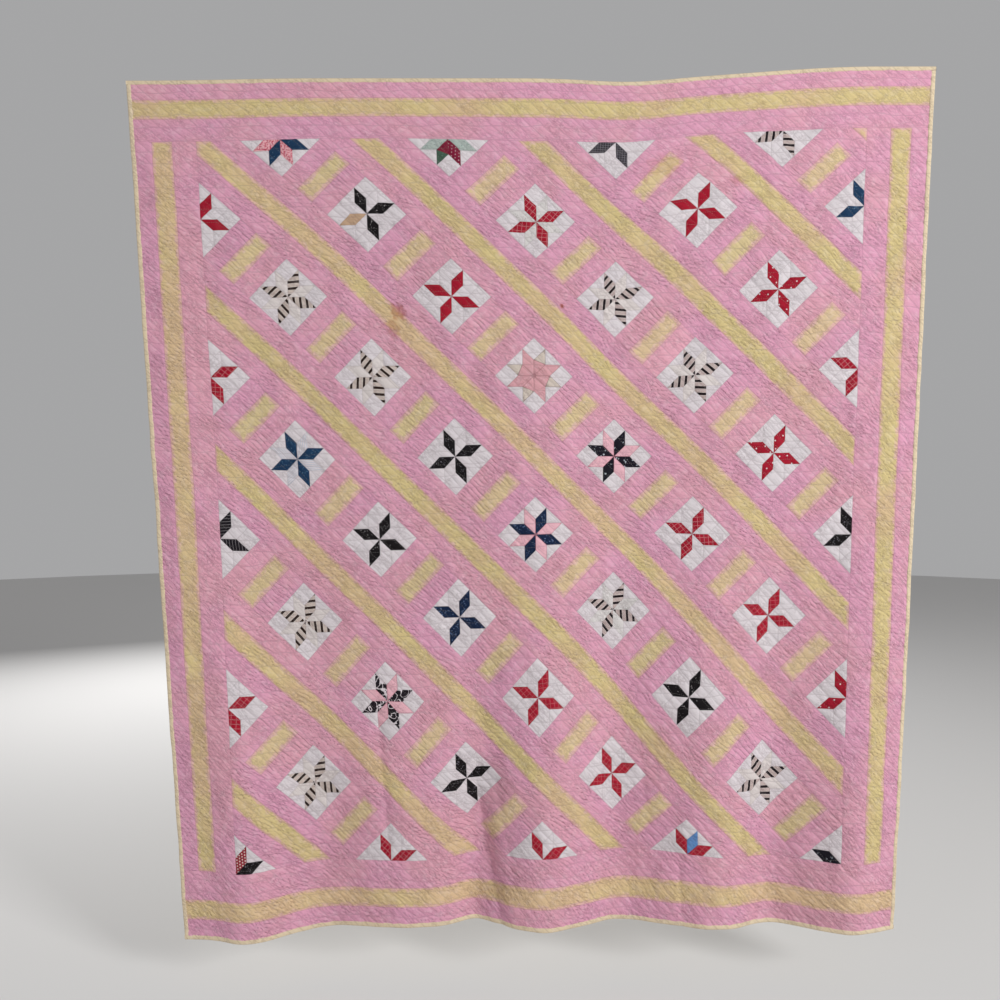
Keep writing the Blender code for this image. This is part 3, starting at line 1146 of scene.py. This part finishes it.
# Fabrics: how each is printed or woven and its colours, ground first. fade is how much a quick
# mottle lightens it. edge is what its seams fade to: a colour, how far in that reaches at least
# and at most, and its strength. drift is a second colour that it slowly changes to and from.
FABRICS = table(
    "name print colours fade edge drift",
    ("pink", plain, [(215, 156, 181)], 0.12, None, (214, 158, 173)),
    ("yellow", plain, [(209, 191, 137)], 0.10, ((213, 167, 164), 0.0035, 0.0125, 0.85),
     (208, 180, 143)),
    ("light_yellow", plain, [(211, 192, 146)], 0.10, ((213, 168, 166), 0.0070, 0.0170, 0.95),
     (209, 184, 148)),
    ("white", plain, [WHITE], 0.05),
    ("ecru", plain, [(210, 202, 199)], 0.05),
    ("muslin", plain, [(214, 206, 190)], 0.06),
    ("binding", plain, [(214, 197, 166)], 0.08),
    ("red", plain, [RED], 0.012),
    ("red_plaid", plaid, [RED, (226, 168, 172), (130, 18, 36)], 0.012),
    ("red_lines", plaid, [(160, 24, 44), (214, 130, 138), (140, 16, 34)], 0.012),
    ("red_dots", few_spots, [RED, WHITE], 0.012),
    ("red_dense_dots", dense_spots, [(140, 32, 48), CREAM], 0.02),
    ("maroon", plaid, [(120, 28, 52), (150, 70, 84), (104, 20, 44)], 0.01),
    ("maroon_dots", spots, [(122, 22, 52), WHITE], 0.01),
    ("navy", fine_print, [(22, 52, 82), (92, 128, 156)], 0.008),
    ("navy_print", fine_print, [(18, 34, 62), (108, 130, 168)], 0.005),
    ("cornflower", plain, [(92, 134, 186)], 0.03),
    ("black_fine", fine_print, [BLACK, (116, 112, 120)], 0.004),
    ("black_flecks", flecks, [BLACK, (196, 190, 192)], 0.004),
    ("black_flowers", flowers, [(22, 20, 30), (176, 184, 192)], 0.004),
    ("black_splash", splash, [(28, 22, 28), (214, 206, 210)], 0.006),
    ("black_check", check, [(40, 36, 42), (150, 146, 154)], 0.006),
    ("black_pinstripe", pinstripe, [(24, 20, 26), (150, 146, 150)], 0.004),
    ("brown_stripe", bars, [(212, 200, 192), (44, 30, 26), (140, 120, 110)], 0.02),
    ("charcoal_stripe", bars, [(206, 192, 188), (28, 18, 22), (124, 98, 92)], 0.02),
    ("tan", fine_print, [(186, 156, 128), (160, 128, 104)], 0.05),
    ("salmon", plain, [(206, 154, 160)], 0.10, ((164, 116, 120), 0.0006, 0.0018, 0.5)),
    ("stone_print", fine_print, [(200, 188, 176), (150, 138, 128)], 0.05,
     ((118, 106, 102), 0.0006, 0.0022, 0.65)),
    ("salmon_fine", fine_print, [(222, 174, 184), (212, 144, 160)], 0.05,
     ((192, 116, 132), 0.0006, 0.0022, 0.65)),
    ("pink_print", blotches, [(222, 170, 176), (184, 66, 90)], 0.03),
    ("grey_print", fine_print, [(206, 202, 200), (160, 158, 154)], 0.05),
    ("blue_hairline", hairlines, [WHITE, (140, 168, 196)], 0.03),
    ("teal_print", fine_print, [(166, 178, 172), (88, 112, 108)], 0.05),
    ("green", fine_print, [(62, 86, 72), (110, 130, 116)], 0.01),
)

PALE = shade(236, 228, 232)
# The dark colour that valleys are multiplied towards, as painted shade.
SHADE_TINT = shade(110, 70, 88)
STAIN_BROWN = shade(196, 138, 96)
THREAD = shade(226, 220, 216)

WEAVE = 0.00045
WEAVE_HEIGHT = 0.00003
# VALLEY_SHADE is how strongly the painted shade darkens the valleys.
VALLEY_SHADE = 0.62
TONE_STEP = 0.020
THREAD_SHOWS = 0.25
CLOTH_ROUGHNESS = 0.92
CLOTH_GLOSS = 0.2


def cloth(name):
    """The material of one fabric."""
    if name in bpy.data.materials:
        return bpy.data.materials[name]
    fabric = next(row for row in FABRICS if row["name"] == name)
    material = bpy.data.materials.new(name)
    material.use_nodes = True
    n = Nodes(material.node_tree)
    shader = material.node_tree.nodes["Principled BSDF"]
    x, y, tone, _ = n.attribute("cut")
    colour = fabric["print"](n, x, y, [shade(*one) for one in fabric["colours"]])

    sewn = material.node_tree.nodes.new("ShaderNodeGroup")
    sewn.node_tree = hand_quilting()
    valley, thread, height, wear, quick, stained = (sewn.outputs[i] for i in range(6))

    if fabric.get("drift"):
        lean = n.plus(wear, n.times(tone, 0.05))
        colour = n.mix(n.span(lean, 0.32, 0.68), colour, shade(*fabric["drift"]))
    if fabric.get("edge"):
        edge_colour, least, most, strength = fabric["edge"]
        _, _, seam, _ = n.attribute("flat")
        reach = n.span(quick, 0.30, 0.70, least, most)
        near = n.span(n.over(seam, reach), 0.15, 1.2, strength, 0.0)
        colour = n.mix(near, colour, shade(*edge_colour))
    colour = n.mix(stained, colour, STAIN_BROWN, "MULTIPLY")
    worn = n.times(n.span(quick, 0.45, 0.75), fabric["fade"])
    colour = n.mix(worn, colour, PALE)
    # Painted shade: the quilting lines, puckers, creases and seams darkened towards a dusky tint.
    dark = n.times(valley, VALLEY_SHADE)
    colour = n.mix(dark, colour, SHADE_TINT, "MULTIPLY")
    bright = n.plus(1.0, n.times(tone, TONE_STEP))
    colour = n.mix(1.0, colour, n.vector(bright, bright, bright), "MULTIPLY")
    colour = n.mix(n.times(thread, THREAD_SHOWS), colour, THREAD)
    n.tree.links.new(colour, shader.inputs["Base Color"])

    warp = n.math("SINE", n.times(x, 2 * math.pi / WEAVE))
    weft = n.math("SINE", n.times(y, 2 * math.pi / WEAVE))
    woven = n.times(n.times(warp, weft), WEAVE_HEIGHT)
    relief = n.plus(height, woven)
    normal = n.add("ShaderNodeBump", {"Strength": 1.0, "Distance": 1.0, "Height": relief})
    n.tree.links.new(normal, shader.inputs["Normal"])
    shader.inputs["Roughness"].default_value = CLOTH_ROUGHNESS
    shader.inputs["Specular IOR Level"].default_value = CLOTH_GLOSS
    return material


# ---- stage


FLOOR = -HEIGHT - 0.14
FLOOR_REACH = 14.0
FLOOR_SIDES = 48
FLOOR_COLOUR = (0.62, 0.61, 0.60, 1)
FLOOR_ROUGHNESS = 0.9
STUDIO_COLOUR = (0.86, 0.86, 0.87, 1)
STUDIO_LIGHT = 0.44

LAMPS = table(
    "name at power size",
    ("key", (4.6, -4.4, 0.9), 318.0, 1.6),
    ("fill", (-4.4, -4.6, -0.4), 45.0, 3.0),
    ("back", (-2.6, 4.6, 0.8), 200.0, 2.4),
)

# The camera faces the quilt squarely: how far away, how much it sees across at the quilt, and
# where its view is centred.
CAMERA_AWAY = 2.2
CAMERA_SEES = 2.55
CAMERA_ACROSS = -0.079
CAMERA_UP = -1.0748


def stage():
    """A pale floor below the hem, soft light from in front and the right, and the camera."""
    scene = bpy.context.scene
    scene.view_settings.view_transform = "Standard"
    floor_mesh = bpy.data.meshes.new("floor")
    turns = [2 * math.pi * i / FLOOR_SIDES for i in range(FLOOR_SIDES)]
    ring = [(FLOOR_REACH * math.cos(turn), FLOOR_REACH * math.sin(turn), FLOOR) for turn in turns]
    floor_mesh.from_pydata(ring, [], [list(range(FLOOR_SIDES))])
    floor = bpy.data.objects.new("floor", floor_mesh)
    scene.collection.objects.link(floor)
    paint = bpy.data.materials.new("floor_paint")
    paint.use_nodes = True
    shader = paint.node_tree.nodes["Principled BSDF"]
    shader.inputs["Base Color"].default_value = FLOOR_COLOUR
    shader.inputs["Roughness"].default_value = FLOOR_ROUGHNESS
    floor_mesh.materials.append(paint)
    floor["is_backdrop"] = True

    world = bpy.data.worlds.new("studio")
    world.use_nodes = True
    background = world.node_tree.nodes["Background"]
    background.inputs["Color"].default_value = STUDIO_COLOUR
    background.inputs["Strength"].default_value = STUDIO_LIGHT
    scene.world = world

    for lamp in LAMPS:
        light = bpy.data.lights.new(lamp["name"], "AREA")
        light.energy = lamp["power"]
        light.size = lamp["size"]
        holder = bpy.data.objects.new(lamp["name"], light)
        holder.location = lamp["at"]
        aim = Vector((0.0, 0.0, -HEIGHT / 2)) - Vector(lamp["at"])
        holder.rotation_euler = aim.to_track_quat("-Z", "Y").to_euler()
        scene.collection.objects.link(holder)

    camera_data = bpy.data.cameras.new("camera")
    camera_data.sensor_width = 36.0
    camera_data.lens = camera_data.sensor_width * CAMERA_AWAY / CAMERA_SEES
    camera = bpy.data.objects.new("camera", camera_data)
    camera.location = (CAMERA_ACROSS, -CAMERA_AWAY, CAMERA_UP)
    camera.rotation_euler = (math.pi / 2, 0.0, 0.0)
    scene.collection.objects.link(camera)
    scene.camera = camera


# ---- sewing it together


def front_pieces():
    """The pieced top: one mesh for each kind of strip, one for grounds, one for the stars."""
    patches = all_patches()
    pieces = []
    for name in sorted({one["piece"] for one in patches}):
        own = [one for one in patches if one["piece"] == name]
        fabrics = sorted({one["fabric"] for one in own})
        pieces.append(front_piece(name, own, fabrics))
    return pieces


def main():
    stage()
    back = backing()
    fronts = front_pieces()
    edges = bindings()
    for piece in [back, *fronts]:
        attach(piece, "root")
        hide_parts("quilt_body")
    for side, piece in edges.items():
        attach(piece, "root")
        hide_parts(f"binding_{side}")
    boxes = {"cad": CAD_BOX, "visual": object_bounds()}
    sizes = {name: [list(map(float, corner)) for corner in box] for name, box in boxes.items()}


main()
